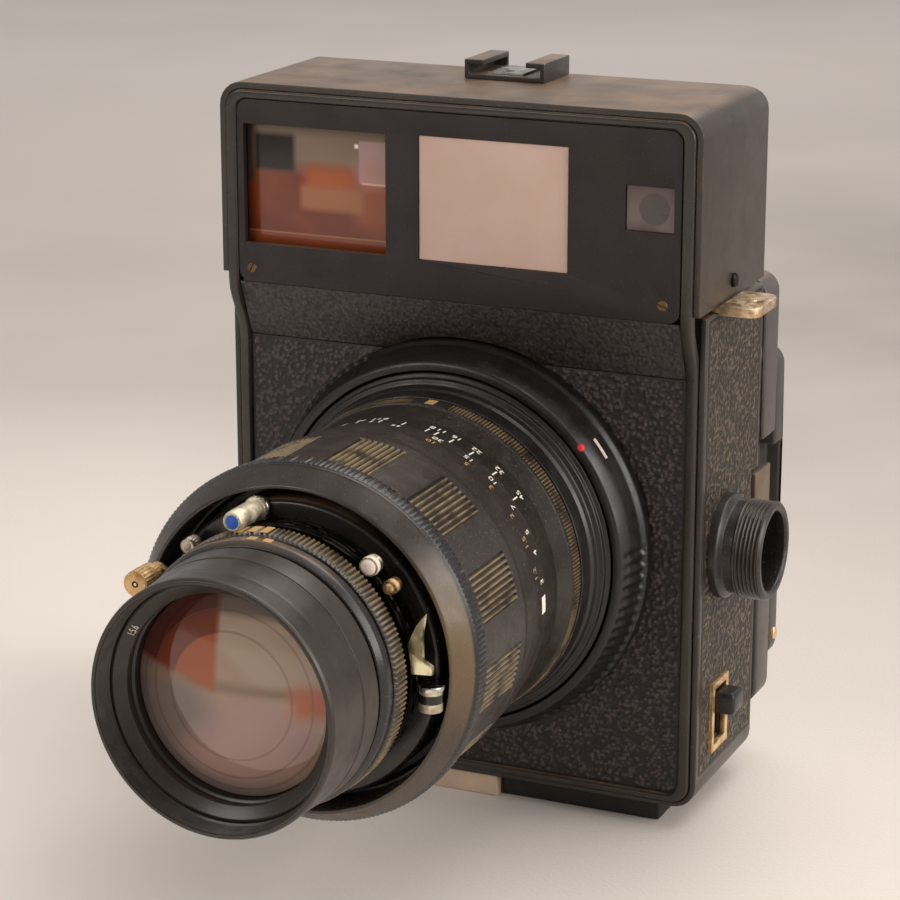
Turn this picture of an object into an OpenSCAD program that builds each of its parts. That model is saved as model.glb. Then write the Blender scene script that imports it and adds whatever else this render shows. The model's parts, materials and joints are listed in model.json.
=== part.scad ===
// Medium-format rangefinder press camera with a leaf-shutter lens in a helical focusing mount.
// Origin: mouth of the tripod socket, on the plane that the camera stands on.
// +Z is up, the front of the camera faces -Y, and +X is the grip side.

/* [Body] */
// Width of the body across its two sides
body_w = 124.6; // [120:0.2:130]
// Height of the camera's top cover above the standing plane
body_top = 178; // [176:1:182]
// Height of the feet under the body
foot_h = 5.6; // [5:0.2:7]
// Depth from the window panel to the back of the top cover
body_d = 48.8; // [44:0.2:50]
// Distance of the window panel in front of the tripod socket
panel_reach = 24; // [22:1:26]
// Set-back of the lower front from the window panel
front_step = 6.3; // [5:0.1:7]

/* [Front] */
// Height of the window panel's lower edge
panel_z = 128.6; // [127:0.2:130]
// Height of the upper edge of the front covering
band_z = 114; // [112:0.5:116]
// Width of the raised bead around the front
bead_w = 3; // [2:0.1:4]

/* [Lens] */
// Height of the lens axis above the standing plane
axis_z = 68.5; // [66:0.5:72]
// Outer radius of the breech-lock ring
breech_r = 50; // [48:0.5:51]
// Outer radius of the focusing grip
grip_r = 41; // [40:0.25:41.5]
// Outer radius of the front barrel
barrel_r = 29.6; // [28.8:0.2:30]
// Distance from the window panel to the lens's front rim
lens_len = 124.6; // [123:0.2:128]
// Filter thread radius at the lens's front
filter_r = 27.5; // [27:0.1:27.6]

/* [Hidden] */

half_w = body_w / 2;
front_y = -panel_reach;
low_y = front_y + front_step;
back_y = front_y + body_d;
skin = 0.8;
seam = 0.1;
seam_z = 129;
wall = 3;
lip = 1.6;
corner_r = 6;
bead_in = half_w - lip - bead_w - seam;
bead_bottom = foot_h + 3.3;
bead_top = body_top - 3.9;
running = 0.3;
boss_y = -1;
boss_z = axis_z + 0.5;
lever_y = -2.6;
lever_z = 26;
adapter_d = 12.5;
cover_d = 6.5;
cover_x = half_w + 0.4;
slide_z = 64;
slide_travel = 5;
gate_w = 84;
gate_h = 57;
tripod_r = 3.175;
// Stations on the lens, measured forward from the window panel
base_front = 15;
scale_front = 34.6;
grip_front = 75;
flange_front = 85.5;
case_back = 72;
case_front = 92;
speed_front = 98.8;
aperture_front = 103.6;
tube_r = 36;
head_r = tube_r - 3.1;
can_r = 28.5;
lever_gap = 0.3;
$fn = 96;

// Points of a quarter turn of radius r about (x, y), starting at angle a
function quarter(x, y, r, a) = [for (i = [0:6]) [x + r * cos(a + 15 * i), y + r * sin(a + 15 * i)]];

// Outline of a rectangle with round corners
function round_rect(x0, x1, y0, y1, r) = concat(
    quarter(x1 - r, y1 - r, r, 0), quarter(x0 + r, y1 - r, r, 90),
    quarter(x0 + r, y0 + r, r, 180), quarter(x1 - r, y0 + r, r, 270));

// A plate with round corners in X and Z, from y0 back to y1
module plate(x0, x1, z0, z1, r, y0, y1) {
    translate([0, y1, 0]) rotate([90, 0, 0]) linear_extrude(y1 - y0)
        polygon(round_rect(x0, x1, z0, z1, r));
}

// A block between two corners
module block(low, high) {
    translate(low) cube(high - low);
}

// Children drawn about the lens axis, with local z forward and local y up
module on_lens() {
    translate([0, front_y, axis_z]) rotate([90, 0, 0]) children();
}

// A turned part given by its half section: radius, station
module turned(section) {
    rotate_extrude() polygon(section);
}

// A plain ring between two stations
module ring(r0, r1, z0, z1) {
    turned([[r0, z0], [r1, z0], [r1, z1], [r0, z1]]);
}

// Children placed at an angle around the lens axis
module at_angle(a, r) {
    rotate([0, 0, a]) translate([r, 0, 0]) children();
}

// A rod along X
module rod_x(x0, x1, y, z, r) {
    translate([x0, y, z]) rotate([0, 90, 0]) cylinder(h = x1 - x0, r = r);
}

// A rod along Y
module rod_y(y0, y1, x, z, r) {
    translate([x, y1, z]) rotate([90, 0, 0]) cylinder(h = y1 - y0, r = r);
}

// Room for the breech-lock ring in the front panels
module breech_room() {
    on_lens() translate([0, 0, -20]) cylinder(h = 40, r = breech_r + 0.4);
}

// Recesses that the lock slides run in, open at both sides: their reach in Y, depth and upper end
module slide_rooms(y0, y1, depth, z1) {
    for (side = [-1, 1]) translate([side * half_w, 0, 0])
        block([-depth, y0, slide_z - slide_travel - 3], [depth, y1, z1]);
}

// The outside of body and top cover together, with round corners and a round top rear edge
module outside(y0) {
    intersection() {
        plate(-half_w, half_w, foot_h, body_top, corner_r, y0, back_y);
        rotate([90, 0, 90]) linear_extrude(body_w + 2, center = true)
            polygon(concat([[front_y - 1, body_top], [front_y - 1, 0], [back_y, 0]],
                quarter(back_y - 4, body_top - 4, 4, 0)));
    }
}

module body_casting() color("dimgray") difference() {
    intersection() {
        outside(low_y - 0.2);
        block([-half_w - 1, front_y, 0], [half_w + 1, back_y + 1, seam_z]);
    }
    // seat for the front frame and its covering, inside the rim
    plate(-half_w + lip, half_w - lip, foot_h + lip - 0.3, seam_z + 30, corner_r - lip,
        low_y - 5, low_y + skin + seam);
    plate(-half_w + wall, half_w - wall, foot_h + wall, seam_z + 9, 3,
        low_y + skin + seam + wall, back_y - wall);
    on_lens() translate([0, 0, -15]) cylinder(h = 12, r = tube_r + 1);
    block([-gate_w / 2, back_y - 5, axis_z - gate_h / 2], [gate_w / 2, back_y + 1, axis_z + gate_h / 2]);
    for (side = [-1, 1])
        translate([side * half_w, 0, 0]) block([-skin, low_y + 2, foot_h + 8], [skin, back_y - lip, seam_z - 1]);
    slide_rooms(back_y - 5, back_y + 1, 2.2, slide_z + 18);
    block([half_w - wall - 1, lever_y - 4.4, lever_z - 7.4], [half_w + 1, lever_y + 4.4, lever_z + 7.4]);
}

module front_profile() {
    rotate([90, 0, 90]) linear_extrude(body_w, center = true)
        polygon([[front_y, body_top], [front_y, panel_z], [low_y - 1, band_z], [low_y - 1, foot_h],
            [low_y + skin, foot_h], [low_y + skin, body_top]]);
}

module front_frame() color("gray") difference() {
    intersection() {
        front_profile();
        plate(-half_w + lip + seam, half_w - lip - seam, foot_h + lip - 0.2, body_top - lip - seam,
            corner_r - lip, front_y - 1, low_y + 1);
    }
    plate(-bead_in, bead_in, bead_bottom, bead_top, 3, front_y - 2, low_y + 2);
}

// The three window openings: x0, x1, z0, z1
finder = [-55.8, -17.6, 138.4, 168];
bright = [-9, 29.4, 138.2, 168.4];
range = [43.7, 55.7, 149.9, 160.7];

// A flat pane in a window opening, grown by g on every side
module pane(w, g, y0, y1) {
    block([w[0] - g, y0, w[2] - g], [w[1] + g, y1, w[3] + g]);
}

module window_panel() color("black") difference() {
    plate(-bead_in + seam, bead_in - seam, panel_z + seam, bead_top - seam, 2.9, front_y + 0.4, front_y + 2.2);
    for (w = [finder, bright, range]) pane(w, 0, front_y - 1, front_y + 4);
    for (s = [[-54.1, 132.2], [53.2, 132.8]]) rod_y(front_y, front_y + 3, s[0], s[1], 0.8);
}

module name_band() color("black") difference() {
    rotate([90, 0, 90]) linear_extrude(2 * (bead_in - seam), center = true)
        polygon([[front_y + 0.4, panel_z], [low_y - 0.1, band_z + 0.1], [low_y + 0.8, band_z + 0.1],
            [front_y + 2.2, panel_z]]);
    breech_room();
}

module front_covering() color("black") difference() {
    plate(-bead_in + seam, bead_in - seam, bead_bottom + seam, band_z - seam, 3, low_y, low_y + skin);
    breech_room();
}

module side_covering(side) {
    x = side * (half_w - skin / 2);
    difference() {
        block([x - skin / 2, low_y + 2 + seam, foot_h + 8 + seam], [x + skin / 2, back_y - lip - seam, seam_z - 1 - seam]);
        slide_rooms(back_y - 5.3, back_y + 1, 2.2, slide_z + 18.3);
        if (side > 0) {
            rod_x(half_w - 3, half_w + 3, boss_y, boss_z, 13.1);
            block([half_w - 3, lever_y - 6.2, lever_z - 9.2], [half_w + 3, lever_y + 6.2, lever_z + 9.2]);
        }
    }
}

module side_covering_right() color("gray") side_covering(1);

module side_covering_left() color("gray") side_covering(-1);

module top_cover() color("dimgray") difference() {
    outside(front_y + 0.8);
    plate(-half_w + lip, half_w - lip, foot_h + lip, body_top - lip, corner_r - lip, front_y - 5, back_y - lip);
    block([-half_w - 1, front_y - 5, 0], [half_w + 1, back_y + 5, seam_z + 1.6]);
    rod_y(back_y - 5, back_y + 5, -36.7, 153, 7);
    rod_y(back_y - 5, back_y + 5, dial_x, dial_z, 2.5);
}

module viewfinder_window() color("lightblue") pane(finder, 0.6, front_y + 3.6, front_y + 4.6);

module illumination_window() color("white") pane(bright, -seam, front_y + 0.8, front_y + 2);

module rangefinder_window() color("lightgray") pane(range, -seam, front_y + 0.9, front_y + 2);

module viewfinder_tunnel() color("black") difference() {
    pane(finder, 1.1, front_y + 4.8, back_y - lip - 1);
    pane(finder, -0.4, front_y + 3, back_y + 1);
    // side opening that the rangefinder's image crosses
    block([finder[1] - 1, front_y + 12, finder[2] + 2], [finder[1] + 3, front_y + 30, finder[3] - 2]);
}

module beam_splitter() color("orange")
    translate([(finder[0] + finder[1]) / 2, front_y + 22, (finder[2] + finder[3]) / 2]) rotate([0, 0, 42])
        cube([40, 1.2, 27.6], center = true);

module frame_mask() color("silver") difference() {
    pane(bright, 0.6, front_y + 14, front_y + 14.8);
    // four bright corner lines, with bridges between them
    difference() {
        pane(bright, -4, front_y + 10, front_y + 20);
        pane(bright, -5.2, front_y + 9, front_y + 21);
        block([2, front_y + 8, 120], [18.4, front_y + 22, 200]);
        block([-40, front_y + 8, 147], [60, front_y + 22, 159]);
    }
}

rf_x = (range[0] + range[1]) / 2;
rf_z = (range[2] + range[3]) / 2;
rf_y = front_y + 12;

module rangefinder_mirror() color("silver") {
    translate([rf_x, rf_y, rf_z]) rotate([0, 0, 45]) cube([12, 1.6, 11], center = true);
    translate([rf_x, rf_y, rf_z - 12]) cylinder(h = 8, r = 1.5);
}

arm_x = 20;
arm_y = -2;
arm_z = 121;

module rangefinder_arm() color("silver") {
    rod_x(arm_x - 3, arm_x + 3, arm_y, arm_z, 3);
    block([arm_x - 1.5, arm_y - 1.5, 96], [arm_x + 1.5, arm_y + 1.5, arm_z - 2]);
    rod_x(arm_x - 2.5, arm_x + 2.5, arm_y - 1, 95, 3);
}

module eyepiece_block() color("black") difference() {
    union() {
        plate(-52, -21.4, 138, 167, 3, back_y + seam, back_y + 3);
        rod_y(back_y + 2, back_y + 6.5, -36.7, 153, 10.5);
    }
    rod_y(back_y - 1, back_y + 9, -36.7, 153, 7);
}

module eyepiece_lens() color("lightblue")
    rod_y(back_y + 1.5, back_y + 4, -36.7, 153, 6.9);

dial_x = 22;
dial_z = 154;

module frame_selector_dial() color("black") difference() {
    union() {
        rod_y(back_y + 0.4, back_y + 5.4, dial_x, dial_z, 9);
        rod_y(back_y - lip - 4, back_y + 0.6, dial_x, dial_z, 2.4);
    }
    block([dial_x - 0.6, back_y + 5, dial_z], [dial_x + 0.6, back_y + 6, dial_z + 8]);
}

// Accessory shoe: two C-shaped rails over a common floor
shoe_x = 1.7;
shoe_w = 21;
shoe_y0 = front_y + 27.5;
shoe_y1 = shoe_y0 + 16.5;
shoe_h = 4.8;
slot_w = 18.7;

module accessory_shoe() color("silver") difference() {
    block([shoe_x - shoe_w / 2, shoe_y0, body_top + 0.05], [shoe_x + shoe_w / 2, shoe_y1, body_top + shoe_h]);
    block([shoe_x - slot_w / 2, shoe_y0 - 1, body_top + 1.3], [shoe_x + slot_w / 2, shoe_y1 - 1, body_top + 3.5]);
    block([shoe_x - 5.6, shoe_y0 - 1, body_top + 3], [shoe_x + 5.6, shoe_y1 + 1, body_top + 9]);
    block([shoe_x - 5.6, shoe_y1 - 2, body_top + 1.3], [shoe_x + 5.6, shoe_y1 + 1, body_top + 9]);
}

module shoe_spring() color("black") difference() {
    block([shoe_x - 4.6, shoe_y0 + 1, body_top + 1.4], [shoe_x + 4.6, shoe_y1 - 4, body_top + 1.9]);
    translate([shoe_x, shoe_y0 + 4, body_top]) cylinder(h = 4, r = 1.1);
}

module panel_screws() color("black") {
    for (s = [[-54.1, 132.2], [53.2, 132.8]]) rod_y(front_y + 0.2, front_y + 2, s[0], s[1], 0.75);
}

module cover_screws() color("brown") {
    for (side = [-1, 1])
        rod_x(side * (half_w + 0.6) - 0.55, side * (half_w + 0.6) + 0.55, 0.7, seam_z + 5.8, 1.35);
}

// The strap lug on the grip side, clamped in the seam, thicker outside, with a hole in its outer end
lug_x = half_w + 10;

module lug_outline(x0) {
    polygon(concat([[x0, 7], [x0, -10.8]], quarter(lug_x - 3, -7.8, 3, 270), quarter(lug_x - 4, 3, 4, 0)));
}

module strap_lug() color("gold") difference() {
    union() {
        translate([0, 0, seam_z + 0.15]) linear_extrude(1.3) lug_outline(half_w - 6);
        translate([0, 0, seam_z - 0.4]) linear_extrude(2.3) lug_outline(half_w + 0.4);
    }
    translate([lug_x - 2.6, -2.4, seam_z - 1]) cylinder(h = 4, r = 1.2);
}

module grip_boss() color("black") translate([0, boss_y, boss_z]) rotate([0, 90, 0])
    turned([[9.8, half_w - skin + seam], [12.9, half_w - skin + seam], [12.9, half_w + 2.4],
        [11.2, half_w + 3.2], [11.2, half_w + 5], [12.2, half_w + 5.6], [12.2, half_w + 12.6],
        [11.8, half_w + 13], [9.8, half_w + 13]]);

module lever_escutcheon() color("gold") difference() {
    block([half_w - skin + seam, lever_y - 6, lever_z - 9], [half_w + 0.9, lever_y + 6, lever_z + 9]);
    block([half_w - 3, lever_y - 4.2, lever_z - 7.2], [half_w + 3, lever_y + 4.2, lever_z + 7.2]);
}

module back_release_lever() color("black")
    block([half_w - wall - 3, lever_y - 3.8, lever_z + 0.8], [half_w + 5.6, lever_y + 3.8, lever_z + 6.4]);

// Adapter plate on the body's back, on a narrower foot
module back_adapter() color("dimgray") difference() {
    union() {
        plate(-half_w + 1.4, half_w - 1.4, 18.5, seam_z - 0.4, 4, back_y + seam, back_y + 3);
        plate(-cover_x, cover_x, 16.8, seam_z + 0.6, 5, back_y + 2.4, back_y + adapter_d);
    }
    block([-gate_w / 2, back_y - 1, axis_z - gate_h / 2], [gate_w / 2, back_y + adapter_d + 1, axis_z + gate_h / 2]);
    slide_rooms(back_y - 1, back_y + adapter_d + 1, 4, slide_z + 24);
}

module back_cover() color("black") difference() {
    plate(-cover_x, cover_x, 25.6, 109.4, 5, back_y + adapter_d + seam, back_y + adapter_d + cover_d);
    plate(-gate_w / 2, gate_w / 2, axis_z - gate_h / 2, axis_z + gate_h / 2, 3,
        back_y + adapter_d - 1, back_y + adapter_d + cover_d - 2);
    slide_rooms(back_y + adapter_d - 1, back_y + adapter_d + cover_d - 1.4, 4, slide_z + 20);
}

// A plate that slides down in its recess, with a rib inside that locks the back
module lock_slide() {
    block([half_w - 1.9, back_y - 0.8, slide_z], [half_w - 0.2, back_y + 11, slide_z + 16]);
    block([half_w - 3.7, back_y + 3, slide_z + 2], [half_w - 1.8, back_y + 9, slide_z + 14]);
}

module lock_slide_right() color("black") lock_slide();

module lock_slide_left() color("black") mirror([1, 0, 0]) lock_slide();

module light_seal() color("black") difference() {
    plate(-gate_w / 2 - 3.5, gate_w / 2 + 3.5, axis_z - gate_h / 2 - 3.5, axis_z + gate_h / 2 + 3.5, 3,
        back_y - 4.6, back_y - 3.1);
    plate(-gate_w / 2 - 1.5, gate_w / 2 + 1.5, axis_z - gate_h / 2 - 1.5, axis_z + gate_h / 2 + 1.5, 2,
        back_y - 6, back_y - 1);
}

module base_feet() color("black") {
    for (side = [-1, 1]) translate([side * 31, 0, 0]) block([-21.2, low_y + 2.6, 0], [21.2, back_y - 4, foot_h - seam]);
}

module tripod_plate() color("silver") difference() {
    block([-9.5, low_y + 0.4, 0], [9.5, back_y - 4, foot_h - seam]);
    translate([0, 0, -1]) cylinder(h = foot_h, r = tripod_r);
}

module mount_plate() color("black") on_lens() ring(tube_r + 0.4, 43.6, -front_step - skin, -2.2);

module breech_ring() color("black") on_lens() turned([[44.4, -6], [breech_r, -6], [breech_r, -3.6],
    [breech_r - 1.2, -2.4], [breech_r - 2.6, 3.5], [breech_r - 3.8, 6], [44.4, 6]]);

module mount_screws() color("silver") on_lens()
    for (a = [30:60:330]) at_angle(a, 40) translate([0, 0, -2.1]) cylinder(h = 0.6, r = 1.5);

module lens_base() color("black") on_lens() difference() {
    turned([[head_r + running, -1.2], [tube_r, -1.2], [44, -1.2], [44, 5.8], [42.6, 7.6], [41.3, 7.8],
        [40.3, base_front], [tube_r, base_front], [tube_r, 70], [head_r + running, 70]]);
    for (a = [0:120:240]) at_angle(a, 44) translate([0, 0, 2.4]) cube([1.6, 14, 2], center = true);
}

module depth_scale_ring() color("dimgray") on_lens() turned([[tube_r + 0.1, base_front + seam],
    [40, base_front + seam], [40, 19.4], [39.5, 19.6], [38.2, 26], [38.8, scale_front - 0.4],
    [tube_r + 0.1, scale_front - 0.4]]);

module focus_ring() color("black") on_lens() turned([[tube_r + running, scale_front],
    [39.2, scale_front], [40.2, 43], [40.6, 47], [grip_r, 53], [grip_r, grip_front],
    [tube_r + running, grip_front]]);

module focus_flange() color("gray") on_lens() turned([[tube_r + 0.9, grip_front + seam],
    [grip_r + 0.6, grip_front + seam], [grip_r + 1, 76], [grip_r + 1, 79.6], [grip_r + 0.4, 80.4],
    [tube_r + 1.8, flange_front], [tube_r + 1.2, flange_front], [tube_r + 0.9, flange_front - 1]]);

module head_tube() color("black") on_lens() turned([[29.4, 34], [head_r, 34], [head_r, case_back - seam],
    [29.4, case_back - seam]]);

// Shutter case: a wide base with a narrower can in front that the levers run around,
// and two cavities inside, for the shutter blades and the iris blades
module shutter_case() color("dimgray") on_lens()
    turned([[21, case_back], [34.4, case_back], [34.4, 84], [can_r, 84], [can_r, case_front],
        [22, case_front], [22, 90], [26, 90], [26, 82], [21, 82], [21, 80], [31, 80], [31, 74.5], [21, 74.5]]);

module speed_ring() color("gray") on_lens() turned([[23, case_front + 0.4], [30.2, case_front + 0.4],
    [31, 93.6], [31, speed_front - 0.3], [30.4, speed_front], [23, speed_front]]);

module aperture_ring() color("black") on_lens() turned([[23, speed_front + running], [30, speed_front + running],
    [30.6, 100], [30.6, 102], [barrel_r, aperture_front], [23, aperture_front]]);

// A lever: a thin hoop around the shutter's can with an arm at angle a and a knob on its end
module lever(z, a, reach, knob_r, knob_z0, knob_z1) {
    ring(can_r + running, can_r + 1.7, z, z + 1.2);
    rotate([0, 0, a]) block([can_r + 1, -1.4, z], [reach, 1.4, z + 1.2]);
    at_angle(a, reach) translate([0, 0, knob_z0]) cylinder(h = knob_z1 - knob_z0, r = knob_r);
}

module cocking_lever() color("silver") on_lens() {
    lever(84.4, 105, 33.2, 1.9, 84.4, 97);
    at_angle(105, 33.2) translate([0, 0, 84.4]) cylinder(h = 1.2, r = 2.7);
}

module aperture_lever() color("silver") on_lens() lever(85.9, 136, 32.6, 1.6, 85.9, 90.3);

module sync_selector() color("gold") on_lens() lever(87.4, 38, 32.4, 1.6, 87.4, 90.6);

module release_lever() color("silver") on_lens() {
    lever(88.9, 49, 32.4, 2.1, 88.9, 92);
    // curved finger that the cable release's pin pushes
    translate([0, 0, 88.9]) linear_extrude(1.2)
        polygon([[29.2, 5.5], [29.9, 8.6], [31.6, 12.2], [33.6, 14.8], [32.8, 9.6], [33, 4.4], [35.2, 3.2],
            [35.2, 1.4], [30, 1]]);
}

module sync_socket() color("gold") on_lens() difference() {
    at_angle(152, 34.6) {
        translate([0, 0, 94]) cylinder(h = 7, r = 2.9);
        translate([0, 0, 90.6]) cylinder(h = 4, r = 2.1);
        block([-8, -2, 90.6], [0, 2, 91.9]);
    }
    at_angle(152, 34.6) translate([0, 0, 97]) cylinder(h = 5, r = 1.7);
    cylinder(h = 120, r = can_r + 0.02);
}

// Cable release socket: a short upright barrel on the shutter's base, open at its lower end
socket_x = 33.6;
socket_y = -7.8;

module cable_socket() color("silver") on_lens() difference() {
    union() {
        translate([socket_x, socket_y + 6, 87]) rotate([90, 0, 0]) cylinder(h = 6, r = 2.6);
        block([socket_x - 2.2, -7, 84], [socket_x - 0.2, -2.6, 87]);
    }
    translate([socket_x, socket_y + 5, 87]) rotate([90, 0, 0]) cylinder(h = 6, r = 1.3);
}

module shutter_blades() color("gray") on_lens() for (a = [0:72:288])
    rotate([0, 0, a]) translate([0, 0, 76 + a / 72 * 0.5]) linear_extrude(0.3)
        polygon([[24, -3], [30, -2], [30, 6], [25, 9], [23.4, 5]]);

module iris_blades() color("gray") on_lens() for (a = [0:36:324])
    rotate([0, 0, a]) translate([0, 0, 83 + (a / 36) * 0.6]) linear_extrude(0.3)
        polygon([[25.4, -4], [25.7, 1], [20, 8.6], [15.4, 11.4], [14.6, 8], [18.6, 2]]);

module front_barrel() color("black") on_lens() turned([[21.2, case_front + seam], [22.7, case_front + seam],
    [22.7, aperture_front + running], [barrel_r - 0.4, aperture_front + running], [barrel_r, 104.6], [barrel_r - 0.8, 118],
    [barrel_r - 0.8, lens_len - 0.8], [barrel_r - 1.4, lens_len], [filter_r, lens_len],
    [filter_r, lens_len - 5], [filter_r - 0.6, lens_len - 5.4], [filter_r - 0.6, 116.6], [24.2, 116.6],
    [24.2, 108], [21.2, 108]]);

module name_ring() color("black") on_lens() turned([[23.4, 116.8], [filter_r - 0.7, 116.8],
    [filter_r - 0.7, 119.4], [26, 119.4], [23.4, 117.6]]);

// A lens element between two faces, bulging by sag at the front
module element(r, z0, z1, sag) {
    ball_r = (r * r + sag * sag) / (2 * sag);
    turned(concat([[0, z0], [r, z0]],
        [for (i = [0:8]) let (x = r * (1 - i / 8)) [x, z1 + sqrt(ball_r * ball_r - x * x) - ball_r + sag]]));
}

module front_element() color("lightblue") on_lens() element(23.3, 108.3, 112.4, 4);

module middle_element() color("lightblue") on_lens() element(20.6, 96, 100, 2);

module rear_cell() color("black") on_lens() turned([[19, 40], [24, 40], [24, 71.8], [19, 71.8]]);

module rear_element() color("lightblue") on_lens() mirror([0, 0, 1]) element(18.9, -64, -44, 2.4);

body_casting();
front_frame();
window_panel();
name_band();
front_covering();
side_covering_right();
side_covering_left();
top_cover();
viewfinder_window();
illumination_window();
rangefinder_window();
viewfinder_tunnel();
beam_splitter();
frame_mask();
rangefinder_mirror();
rangefinder_arm();
eyepiece_block();
eyepiece_lens();
frame_selector_dial();
accessory_shoe();
shoe_spring();
panel_screws();
cover_screws();
strap_lug();
grip_boss();
lever_escutcheon();
back_release_lever();
back_adapter();
back_cover();
lock_slide_right();
lock_slide_left();
light_seal();
base_feet();
tripod_plate();
mount_plate();
breech_ring();
mount_screws();
lens_base();
depth_scale_ring();
focus_ring();
focus_flange();
head_tube();
shutter_case();
speed_ring();
aperture_ring();
cocking_lever();
aperture_lever();
sync_selector();
release_lever();
sync_socket();
cable_socket();
shutter_blades();
iris_blades();
front_barrel();
name_ring();
front_element();
middle_element();
rear_cell();
rear_element();
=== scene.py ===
"""A medium-format rangefinder press camera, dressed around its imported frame.

Lengths in the tables below are millimetres. Stations on the lens are measured forward from the
window panel, and angles around the lens run anticlockwise from the grip side, seen from the front.
"""

import json
import math

import bmesh
import bpy
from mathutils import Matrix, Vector, noise

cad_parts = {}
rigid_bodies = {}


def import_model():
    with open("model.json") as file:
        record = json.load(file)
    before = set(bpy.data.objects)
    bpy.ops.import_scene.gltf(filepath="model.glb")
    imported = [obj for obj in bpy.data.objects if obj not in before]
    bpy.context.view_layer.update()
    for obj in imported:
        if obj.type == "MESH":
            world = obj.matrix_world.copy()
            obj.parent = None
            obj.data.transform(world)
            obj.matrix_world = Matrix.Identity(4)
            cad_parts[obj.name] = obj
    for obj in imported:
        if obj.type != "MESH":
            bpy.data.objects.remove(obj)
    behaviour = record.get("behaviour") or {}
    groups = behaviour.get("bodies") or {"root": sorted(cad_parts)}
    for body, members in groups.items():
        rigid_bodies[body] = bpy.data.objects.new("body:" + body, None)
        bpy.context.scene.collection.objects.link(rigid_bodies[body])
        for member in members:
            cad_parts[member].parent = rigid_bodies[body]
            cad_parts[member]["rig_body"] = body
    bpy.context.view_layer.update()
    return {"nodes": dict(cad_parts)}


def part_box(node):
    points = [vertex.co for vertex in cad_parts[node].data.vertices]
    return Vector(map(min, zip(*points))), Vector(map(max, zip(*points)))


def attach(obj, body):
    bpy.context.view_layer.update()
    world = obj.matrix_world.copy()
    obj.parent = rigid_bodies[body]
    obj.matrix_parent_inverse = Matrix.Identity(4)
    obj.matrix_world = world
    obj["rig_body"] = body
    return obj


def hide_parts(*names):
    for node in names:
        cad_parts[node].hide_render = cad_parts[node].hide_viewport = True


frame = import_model()
NODES = frame["nodes"]

MM = 0.001
PANEL_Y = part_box("front_frame")[0].y / MM
AXIS_Z = (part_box("focus_ring")[0].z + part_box("focus_ring")[1].z) / 2 / MM


# ---- stage


def make_camera():
    """The viewing point: in front, a little to the grip side and above."""
    target = Vector((-0.47, -24, 91.78)) * MM
    azimuth, elevation, distance = math.radians(23.9), math.radians(16.29), 0.7075
    away = Vector((math.sin(azimuth) * math.cos(elevation), -math.cos(azimuth) * math.cos(elevation),
                   math.sin(elevation)))
    camera = new_object("camera", bpy.data.cameras.new("camera"))
    camera.location = target + distance * away
    camera.rotation_euler = (-away).to_track_quat("-Z", "Y").to_euler()
    camera.data.lens = 116.4
    camera.data.clip_start = 0.01
    bpy.context.scene.camera = camera


def make_light(name, place, aim, size, power, color):
    """A soft rectangular lamp at place, turned towards aim."""
    light = bpy.data.lights.new(name, "AREA")
    light.shape = "RECTANGLE"
    light.size, light.size_y = size
    light.energy, light.color = power, color
    holder = new_object(name, light)
    holder.location = place
    holder.rotation_euler = (Vector(aim) - Vector(place)).to_track_quat("-Z", "Y").to_euler()


def make_surround():
    """A room that is bright above and behind, and dim in front."""
    world = bpy.data.worlds.new("surround")
    world.use_nodes = True
    nodes, links = world.node_tree.nodes, world.node_tree.links
    split = nodes.new("ShaderNodeSeparateXYZ")
    links.new(nodes.new("ShaderNodeTexCoord").outputs["Generated"], split.inputs[0])
    blend = nodes.new("ShaderNodeMapRange")
    links.new(split.outputs["Y"], blend.inputs["Value"])
    blend.inputs["From Min"].default_value, blend.inputs["From Max"].default_value = -0.8, 0.6
    room = nodes.new("ShaderNodeMix")
    room.data_type = "RGBA"
    room.inputs[6].default_value = (0.36, 0.325, 0.30, 1)
    room.inputs[7].default_value = (0.72, 0.70, 0.69, 1)
    links.new(blend.outputs[0], room.inputs[0])
    links.new(room.outputs[2], nodes["Background"].inputs["Color"])
    nodes["Background"].inputs["Strength"].default_value = 0.8
    bpy.context.scene.world = world


def make_stage():
    """A pale floor, an even surround and soft lamps."""
    mesh = bpy.data.meshes.new("floor")
    mesh.from_pydata([(-3, -3, 0), (3, -3, 0), (-3, 3, 0), (3, 3, 0)], [], [(0, 1, 3, 2)])
    floor = new_object("floor", mesh)
    floor.data.materials.append(finish_floor())
    make_surround()
    make_light("overhead_lamp", (0.25, 0.35, 1.1), (0, 0, 0.08), (1.1, 0.8), 10, (1.0, 0.955, 0.91))
    make_light("side_lamp", (1.3, -0.1, 0.6), (0, 0, 0.09), (0.9, 0.9), 14, (1.0, 0.955, 0.91))
    make_light("front_lamp", (-0.7, -1.1, 0.8), (0, -0.05, 0.08), (0.7, 0.6), 5.5, (1.0, 0.955, 0.92))
    bpy.context.scene.view_settings.view_transform = "Standard"


# ---- materials


def linear(color):
    """A linear colour with alpha from display values of 0 to 255; a colour with alpha stays as it is."""
    if len(color) == 4:
        return color
    parts = [value / 255 for value in color]
    return tuple(v / 12.92 if v <= 0.04045 else ((v + 0.055) / 1.055) ** 2.4 for v in parts) + (1,)


def lighter(color, factor):
    """A colour made lighter, or darker where factor is below 1."""
    return tuple(c * factor for c in linear(color)[:3]) + (1,)


def facing(turn):
    """The direction across the lens's face that turn, in degrees, points to."""
    angle = math.radians(turn)
    return math.cos(angle), 0, math.sin(angle)


BRASS = (236, 204, 158)
PALE_BRASS = (150, 130, 100)
BARE_STEEL = (150, 146, 140)
DUST = (150, 138, 124)
UPWARD_TINT = (124, 100, 79)
LEVER_HOOP = 30.4
FLOOR_AHEAD = (-0.405, 0.914, 0)
FLOOR_ACROSS = (0.914, 0.405, 0)


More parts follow.
